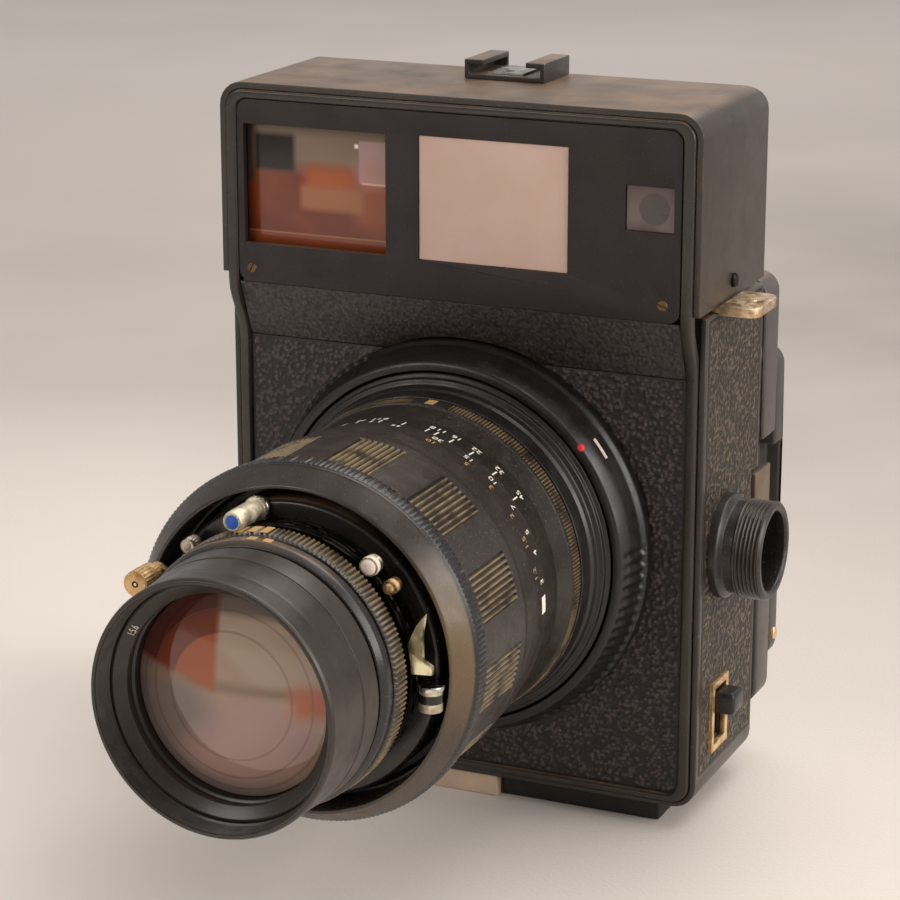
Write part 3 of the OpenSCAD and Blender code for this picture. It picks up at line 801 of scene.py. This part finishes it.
def outline(half, z0, z1, radius):
    """(x, z) points around an upright rectangle with round corners."""
    rise, run, arc = 60, 6, 8

    def line(start, end, count):
        return [(mean(start[0], end[0], i / count), mean(start[1], end[1], i / count)) for i in range(count)]

    def bend(x, z, start):
        turns = [math.radians(start + 90 * i / arc) for i in range(arc)]
        return [(x + radius * math.cos(t), z + radius * math.sin(t)) for t in turns]
    x, low, high = half - radius, z0 + radius, z1 - radius
    return (line((half, low), (half, high), rise) + bend(x, high, 0) + line((x, z1), (-x, z1), run)
            + bend(-x, high, 90) + line((-half, high), (-half, low), rise) + bend(-x, low, 180)
            + line((-x, z0), (x, z0), run) + bend(x, low, 270))


def make_bead():
    """The raised rim around the front, which steps back below the window panel."""
    low, high = size_of("front_frame")
    panel, covering = size_of("window_panel"), size_of("front_covering")
    gap = 0.1
    outer = outline(high.x, low.z, high.z, 4.4)
    inner = outline(panel[1].x + gap, covering[0].z - gap, panel[1].z + gap, 3)
    step = covering[0].y - 1 - PANEL_Y
    section = [(0, -2.5), (0, -0.9), (0.02, -0.5), (0.07, -0.2), (0.15, -0.05), (0.25, 0), (0.72, 0),
               (0.83, -0.08), (0.92, -0.3), (0.98, -0.65), (1, -1), (1, -2.5)]
    rings = []
    for (x0, z0), (x1, z1) in zip(outer, inner):
        t = min(1, max(0, (z0 - covering[1].z) / (panel[0].z - covering[1].z)))
        base = PANEL_Y + step * (1 - t * t * (3 - 2 * t))
        rings.append([Vector((mean(x0, x1, s), base - h, mean(z0, z1, s))) * MM for s, h in section])
    dress(new_object("front_bead", tidy(loft("front_bead", rings))), "root", "frame_paint", "frame_paint",
          "front_frame")


def pebble(u, v, size):
    """The height, from 0 to 1, of pebbled leather at (u, v)."""
    near = noise.voronoi(Vector((u / size, v / size, 3)))[0]
    swell = 0.8 + 0.25 * noise.noise(Vector((u / 2.3, v / 2.3, 9)))
    return max(0, 1 - (near[0] / 0.66) ** 2) * swell


def pebbled_sheet(name, nodes, slot, low, high, place, keep, spacing=0.32, size=1.1):
    """Leatherette over a rectangle of (u, v); place maps (u, v, height), keep says what isn't cut."""
    columns = round((high[0] - low[0]) / spacing)
    rows = round((high[1] - low[1]) / spacing)
    edge, rise, back = 0.9, 0.34, -0.5
    verts, crest = [], []
    for j in range(rows + 1):
        for i in range(columns + 1):
            u, v = mean(low[0], high[0], i / columns), mean(low[1], high[1], j / rows)
            border = min(u - low[0], high[0] - u, v - low[1], high[1] - v)
            height = pebble(u, v, size) * min(1, border / edge)
            verts.append(place(u, v, height * rise) * MM)
            # The crest mask marks the pebble tops, where the leather finish paints its highlights.
            crest.append(min(1, max(0, height * 2.6 - 0.95)))
    width = columns + 1
    mesh = bpy.data.meshes.new(name)
    corners = [(j * width + i, j * width + i + 1, (j + 1) * width + i + 1, (j + 1) * width + i)
               for j in range(rows) for i in range(columns)]
    centre = lambda i: (mean(low[0], high[0], (i % width + 0.5) / columns),
                        mean(low[1], high[1], (i // width + 0.5) / rows))
    mesh.from_pydata(verts, [], [c for c in corners if keep(*centre(c[0]))])
    put_crest(mesh, crest)
    work = bmesh.new()
    work.from_mesh(mesh)
    bmesh.ops.delete(work, geom=[v for v in work.verts if not v.link_faces], context="VERTS")
    rim = [e for e in work.edges if e.is_boundary]
    made = bmesh.ops.extrude_edge_only(work, edges=rim)["geom"]
    shift = (place(0, 0, back) - place(0, 0, 0)) * MM
    bmesh.ops.translate(work, verts=[g for g in made if isinstance(g, bmesh.types.BMVert)], vec=shift)
    hem = [g for g in made if isinstance(g, bmesh.types.BMEdge) and g.is_boundary]
    bmesh.ops.triangle_fill(work, edges=hem, use_beauty=True)
    bmesh.ops.recalc_face_normals(work, faces=work.faces)
    work.to_mesh(mesh)
    work.free()
    smooth(mesh, 60)
    dress(new_object(name, mesh), "root", slot, slot, *nodes)


def make_coverings():
    """Pebbled leatherette on the front and both sides."""
    low, high = size_of("front_covering")
    hidden = size_of("breech_ring")[1].x - 3
    pebbled_sheet("front_leather", ["front_covering"], "front_leatherette", (low.x, low.z), (high.x, high.z),
                  lambda u, v, h: Vector((u, low.y + 0.1 - h, v)),
                  lambda u, v: math.hypot(u, v - AXIS_Z) > hidden)
    boss, plate = size_of("grip_boss"), size_of("lever_escutcheon")
    boss_centre, boss_r = mean(*boss), (boss[1].z - boss[0].z) / 2 - 0.8

    slide = size_of("lock_slide_right")

    def beside_slide(y, z):
        return not (y > slide[0].y - 4.5 and slide[0].z - 8 < z < slide[1].z + 2.3)

    def right_side(y, z):
        in_plate = plate[0].y + 0.8 < y < plate[1].y - 0.8 and plate[0].z + 0.8 < z < plate[1].z - 0.8
        away = math.hypot(y - boss_centre.y, z - boss_centre.z) > boss_r
        return away and not in_plate and beside_slide(y, z)
    for side, node in ((1, "side_covering_right"), (-1, "side_covering_left")):
        low, high = size_of(node)
        face = max(abs(low.x), abs(high.x)) - 0.1
        pebbled_sheet(node + "_leather", [node], "side_leatherette", (low.y, low.z), (high.y, high.z),
                      lambda y, z, h, side=side, face=face: Vector((side * (face + h), y, z)),
                      right_side if side > 0 else beside_slide)
    low, high = size_of("back_cover")
    inset = Vector((7, 0, 7))
    low, high = low + inset, high - inset
    pebbled_sheet("back_leather", [], "front_leatherette", (low.x, low.z), (high.x, high.z),
                  lambda u, v, h: Vector((u, high.y - 0.15 + h, v)), lambda u, v: True, 0.42, 1.5)


def make_shells():
    """The plain machined and pressed pieces, with their edges rounded."""
    for node, slot, width, *finish in (
            ("body_casting", "body_paint", 0.35), ("top_cover", "body_paint", 0.5),
            ("window_panel", "panel_black", 0.15), ("name_band", "front_leatherette", 0.15, "band_leatherette"),
            ("back_adapter", "adapter_paint", 0.8), ("back_cover", "cover_black", 1.0),
            ("lock_slide_right", "cover_black", 0.4, "slide_bronze"),
            ("lock_slide_left", "cover_black", 0.4, "slide_bronze"), ("base_feet", "feet_black", 0.8),
            ("tripod_plate", "plated_steel", 0.4, "pale_plate"), ("strap_lug", "worn_brass", 0.35, "lug_metal"),
            ("lever_escutcheon", "worn_brass", 0.25), ("back_release_lever", "black_anodised", 1.1),
            ("accessory_shoe", "shoe_metal", 0.2), ("eyepiece_block", "eyepiece_plastic", 0.8),
            ("illumination_window", "frosted_glass", 0.1),
            ("viewfinder_window", "clear_glass", 0.1, "finder_view"), ("rangefinder_window", "grey_glass", 0.1),
            ("cocking_lever", "satin_chrome", 0.12, "arm_chrome"),
            ("aperture_lever", "satin_chrome", 0.12, "arm_chrome"),
            ("sync_selector", "worn_brass", 0.12, "arm_brass"),
            ("release_lever", "satin_chrome", 0.15, "ivory_metal"),
            ("sync_socket", "worn_brass", 0.2, "socket_brass"), ("cable_socket", "satin_chrome", 0.2)):
        shell(node, slot, width, *finish)


def slotted_head(name, body, slot, finish, centre, axis, radius, height, turn):
    """A screw head: a disc cut across by a slot, turned by turn degrees."""
    width, steps = radius * 0.13, 14
    place = around(centre, axis)
    work = bmesh.new()
    for half in (0, 180):
        edge = math.degrees(math.asin(width / radius))
        angles = [half + edge + (180 - 2 * edge) * i / steps for i in range(steps + 1)]
        levels = ((radius, 0), (radius, height * 0.6), (radius * 0.86, height))
        rings = [[work.verts.new(place(r, a + turn, z)) for a in angles] for r, z in levels]
        for low, high in zip(rings, rings[1:]):
            for i in range(steps + 1):
                j = (i + 1) % (steps + 1)
                work.faces.new((low[i], low[j], high[j], high[i]))
        work.faces.new(rings[-1])
        work.faces.new(rings[0])
    floor = [work.verts.new(place(radius * 0.97, 360 * i / 32, height * 0.35)) for i in range(32)]
    work.faces.new(floor)
    mesh = bpy.data.meshes.new(name)
    work.to_mesh(mesh)
    work.free()
    return dress(new_object(name, tidy(mesh)), body, slot, finish)


def make_screws():
    """The slotted heads on the window panel and on the cover's sides."""
    low, high = size_of("panel_screws")
    radius, front = 0.75, low.y
    for name, x, z, turn in (("panel_screw_left", low.x + radius, low.z + radius, 20),
                             ("panel_screw_right", high.x - radius, high.z - radius, 115)):
        screw = slotted_head(name, "root", "screws", "screws", (x, front + 0.55, z), (0, -1, 0),
                             radius * 1.8, 0.5, turn)
    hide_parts("panel_screws")
    low, high = size_of("cover_screws")
    middle = mean(low, high)
    for side, name in ((-1, "cover_screw_left"), (1, "cover_screw_right")):
        screw = slotted_head(name, "root", "screws", "dark_screws",
                             (side * (high.x - 1.1), middle.y, middle.z), (side, 0, 0), 1.7, 0.9, 60 * side)
    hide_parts("cover_screws")


def make_grip_boss():
    """The threaded boss that a side grip screws on to."""
    low, high = size_of("grip_boss")
    centre = mean(low, high)
    pitch, depth, top = 1.0, 0.5, 12.2
    start, end = high.x - 6.9, high.x - 0.7
    section = [(9.8, low.x), (12.9, low.x), (12.9, 64.3, 0.3), (12.5, 64.7, 0.2), (11.3, 65.5, 0.3),
               (11.2, start - 0.6)]
    count = 56
    section += [(top, mean(start, end, i / count)) for i in range(count + 1)]
    section += [(11.9, high.x - 0.35), (11.5, high.x, 0.1), (10.3, high.x, 0.3), (9.8, high.x - 0.6, 0.2),
                (9.8, high.x - 3), (9.9, high.x - 3.2)]

    def relief(angle, radius, station):
        if abs(radius - top) > 0.01:
            return 0, 0
        phase = (station / pitch + angle / 360) % 1
        fade = min(1, (station - start) / 0.8, (end - station) / 0.5)
        ridge = 1 - abs(2 * phase - 1)
        return -depth * (1 - ridge) * max(0, fade), ridge * 0.8
    piece = spindle("grip_thread", "root", "black_anodised", "boss_black", (0, centre.y, centre.z), (1, 0, 0),
                    section, 144, relief)
    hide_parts("grip_boss")


def make_windows():
    """The darker lens in the rangefinder's pane and the warm box behind the finder's glass."""
    low, high = size_of("rangefinder_window")
    spindle("rangefinder_lens", "root", "grey_glass", "lens_grey", (high.x - 4.9, low.y, mean(low, high).z),
            (0, -1, 0), [(0.01, 0), (3.75, 0), (3.75, 0.04), (2, 0.12), (0.01, 0.16)])
    low, high = size_of("viewfinder_tunnel")
    wall, rings = 1.4, []
    for t, inset in ((0, 0), (0, wall), (0.3, wall), (0.62, 6.5), (1, 8), (1, 0)):
        shift = Vector((inset, 0, inset * 0.9))
        (x0, _, z0), (x1, _, z1) = low + shift, high - shift
        y = mean(low.y, high.y, t)
        rings.append([Vector((x, y, z)) * MM for x, z in ((x0, z0), (x1, z0), (x1, z1), (x0, z1))])
    dress(new_object("finder_box", tidy(loft("finder_box", rings))), "root", "inner_black", "finder_lining",
          "viewfinder_tunnel")


# ---- marks and small lens pieces


def band_radius(station, section):
    """The outer radius at a station of a section given as (radius, station) points."""
    for (r0, z0), (r1, z1) in zip(section, section[1:]):
        if z0 <= station <= z1:
            return mean(r0, r1, (station - z0) / (z1 - z0))
    return section[-1][0]


SCALE = ((39.4, 19.6), (38.25, 26), (38.8, 34.2), (39.1, 34.6), (40.15, 43.2), (40.6, 49.6), (41, 54))


def labels(name, body, finish, entries, section=SCALE, way=1):
    """Printed characters on a turned surface, as (text, angle, station, height) entries."""
    work = bmesh.new()
    for text, angle, station, height in entries:
        curve = bpy.data.curves.new("letter", "FONT")
        curve.body, curve.size, curve.align_x = text, height * 1.4, "CENTER"
        curve.extrude = 0.02
        holder = new_object("letter", curve)
        flat = bpy.data.meshes.new_from_object(
            holder.evaluated_get(bpy.context.evaluated_depsgraph_get()))
        bpy.data.objects.remove(holder)
        for vert in flat.vertices:
            z = station + vert.co.y - height / 2
            radius = band_radius(z, section)
            turn = way * math.degrees(vert.co.x / radius)
            vert.co = on_lens(radius + way * (0.02 + vert.co.z), angle + turn, z)
        work.from_mesh(flat)
    mesh = bpy.data.meshes.new(name)
    work.to_mesh(mesh)
    work.free()
    return dress(new_object(name, mesh), body, "scale_black", finish)


def patch(name, body, finish, angles, stations, section=SCALE, proud=0.04):
    """A thin inlaid mark that follows a turned surface."""
    rings = []
    for i in range(9):
        angle = mean(*angles, i / 8)
        front = [(band_radius(z, section) + proud, z) for z in (stations[0], mean(*stations), stations[1])]
        back = [(band_radius(z, section) - 0.1, z) for z in (stations[1], stations[0])]
        rings.append([on_lens(r, angle, z) for r, z in front + back])
    return dress(new_object(name, tidy(loft(name, rings, False, True))), body, "scale_black", finish)


def make_marks():
    """Generic scales: distances on the focusing grip, stops on the fixed ring, and index marks."""
    index = 86.7
    stops = ((8, 9), (11, 12.5), (16, 18.5), (22, 26.7), (32, 37.2), (45, 48.2))
    entries = [(str(stop), index + side * turn, 29.4, 1.9) for stop, turn in stops for side in (-1, 1)]
    labels("stop_numbers", "root", "white_ink", entries)
    ticks = [index] + [index + side * turn for stop, turn in stops for side in (-1, 1)]
    for number, angle in enumerate(ticks):
        patch(f"stop_tick_{number}", "root", "white_ink", (angle - 0.25, angle + 0.25), (31.2, 34.1))
    labels("aperture_number", "head", "white_ink", [("1:5.6", 149, 118.5, 1.0)], ((23.6, 117.6), (26, 119.35)), -1)
    far = (("30", 71), ("15", 58.5), ("10", 47.5), ("7", 36.5), ("5", 27), ("4", 19.6), ("3", 9.5))
    near = (("10", 71.3), ("5", 57.2), ("3", 46), ("2", 34.4), ("1.5", 24.6), ("1.2", 13.6))
    labels("distance_numbers", "focus", "white_ink", [(t, a, 37.0, 2.0) for t, a in far])
    labels("metre_numbers", "focus", "gold_ink", [(t, a, 40.6, 1.9) for t, a in near])
    for number, angle in enumerate((index + 0.9, index - 0.9)):
        patch(f"far_mark_{number}", "focus", "white_ink", (angle - 0.45, angle + 0.45), (36.4, 37.6))
    patch("infrared_bar", "focus", "white_ink", (-1.5, 4.5), (35.6, 38.4))
    patch("index_mark", "root", "gold_ink", (index - 1.6, index + 1.6), (15.5, 18.9), ((40, 15), (40, 20)), 0.06)
    barrel = ((31.05, 92), (31.05, 99), (30.7, 99.5), (30.65, 103))
    for number, angle in enumerate((103, 97, 91.5)):
        patch(f"speed_mark_{number}", "speed", "gold_ink", (angle - 1.7, angle + 1.7), (93.6, 97.6), barrel)
    for number, angle in enumerate((93, 86)):
        patch(f"stop_mark_{number}", "aperture", "gold_ink", (angle - 1.8, angle + 1.8), (100, 101.9), barrel)
    spot = on_lens(46.4, 39.6, 5.4) / MM
    spindle("red_dot", "breech", "black_anodised", "red_ink", spot, on_lens(1, 39.6, 1) - on_lens(0, 0, 0),
            [(0.01, -0.6), (0.95, -0.6), (0.95, 0.15, 0.1), (0.6, 0.3, 0.1), (0.01, 0.35)], 24)
    # A painted highlight: a thin white patch stands for a glint of light on the locking ring.
    patch("lock_painted_glint", "breech", "white_enamel", (33, 39.5), (0.4, 1.3), ((48.4, 0.2), (48.2, 1.5)), 0.1)


def knob(name, body, slot, finish, reach, angle, section, teeth=0):
    """A knob standing forward on a lever's end."""
    edge = max(corner[0] for corner in section) - 0.05
    relief = ribs(lambda turn, radius, station: radius >= edge, 360 / teeth, 0.12, 0.45) if teeth else None
    origin = on_lens(reach, angle, 0) / MM
    return spindle(name, body, slot, finish, origin, (0, -1, 0), section, 8 * teeth or 40, relief)


def make_knobs():
    """The knobs of the shutter's levers, and the smaller turned pieces."""
    knob("cocking_knob", "cocking", "satin_chrome", "satin_chrome", 33.2, 105, [
        (0.01, 85.5), (2.7, 85.5), (2.7, 86.6, 0.3), (1.9, 87, 0.2), (1.9, 89), (2.35, 89.5, 0.1),
        (2.35, 96.3), (2.15, 97, 0.2), (1.7, 97.05, 0.1), (1.7, 96.8), (0.01, 96.8)], 20)
    knob("cocking_inlay", "cocking", "satin_chrome", "blue_ink", 33.2, 105, [
        (0.01, 96.9), (1.6, 96.9), (1.6, 97.04, 0.03), (0.01, 97.12)])
    knob("aperture_knob", "aperture", "satin_chrome", "satin_chrome", 32.6, 136, [
        (0.01, 86.5), (1.65, 86.5), (1.75, 88.4, 0.3), (1.5, 90, 0.5), (0.6, 90.5, 0.3), (0.01, 90.5)], 16)
    knob("sync_knob", "sync", "worn_brass", "worn_brass", 32.4, 38, [
        (0.01, 87.6), (1.2, 87.6), (1.7, 88.8, 0.6), (1.6, 90.2, 0.7), (0.6, 90.9, 0.3), (0.01, 90.9)])
    knob("release_knob", "release", "satin_chrome", "white_enamel", 32.4, 49, [
        (0.01, 89.2), (1.4, 89.2), (2.2, 90.2, 0.8), (2.2, 91.6, 0.9), (1.2, 92.6, 0.6), (0.01, 92.8)])
    knob("socket_pin", "head", "worn_brass", "satin_chrome", 34.6, 152, [
        (0.01, 98.9), (0.4, 98.9), (0.4, 101.1, 0.1), (0.01, 101.15)])
    knob("socket_collar", "head", "worn_brass", "socket_brass", 34.6, 152, [
        (1.75, 94.2), (2.95, 94.2), (2.95, 95.2, 0.2), (2.7, 95.5, 0.2), (2.7, 96.4, 0.2), (2.97, 96.7, 0.2),
        (2.97, 100.7, 0.2), (2.6, 101.1, 0.2), (0.75, 101.1, 0.1), (0.75, 99), (1.75, 99)], 24)
    low, high = size_of("back_cover")
    spindle("back_stud", "root", "worn_brass", "worn_brass", (high.x, mean(low.y, high.y), low.z + 7), (1, 0, 0),
            [(0.01, -0.3), (1.6, -0.3), (1.6, 0.5, 0.2), (1.1, 0.8, 0.2), (0.01, 0.85)], 24)
    low, high = size_of("cable_socket")
    for name, finish, drop, section in (
            ("cable_socket_flange", "bright_steel", 1.1, [(1, 0, 0), (3.1, 0, 0.2), (3.1, 1.1, 0.3), (0.01, 1.2)]),
            ("cable_socket_band", "shutter_enamel", 4, [(2.4, 0), (2.68, 0, 0.1), (2.68, 2, 0.1), (2.4, 2)])):
        centre = (high.x - 2.6, low.y + 2.6, high.z - drop)
        spindle(name, "head", "satin_chrome", finish, centre, (0, 0, 1), section)


# ---- assembly

FINISHES = make_finishes()
make_camera()
make_stage()
make_focus_ring()
make_lens_rings()
make_shutter()
make_front_barrel()
make_glass()
make_bead()
make_coverings()
make_shells()
make_screws()
make_grip_boss()
make_windows()
make_marks()
make_knobs()

for node in NODES.values():
    slot = node.data.materials[0].name.split(".")[0]
    node.data.materials.clear()
    node.data.materials.append(FINISHES[slot])
    smooth(node.data)
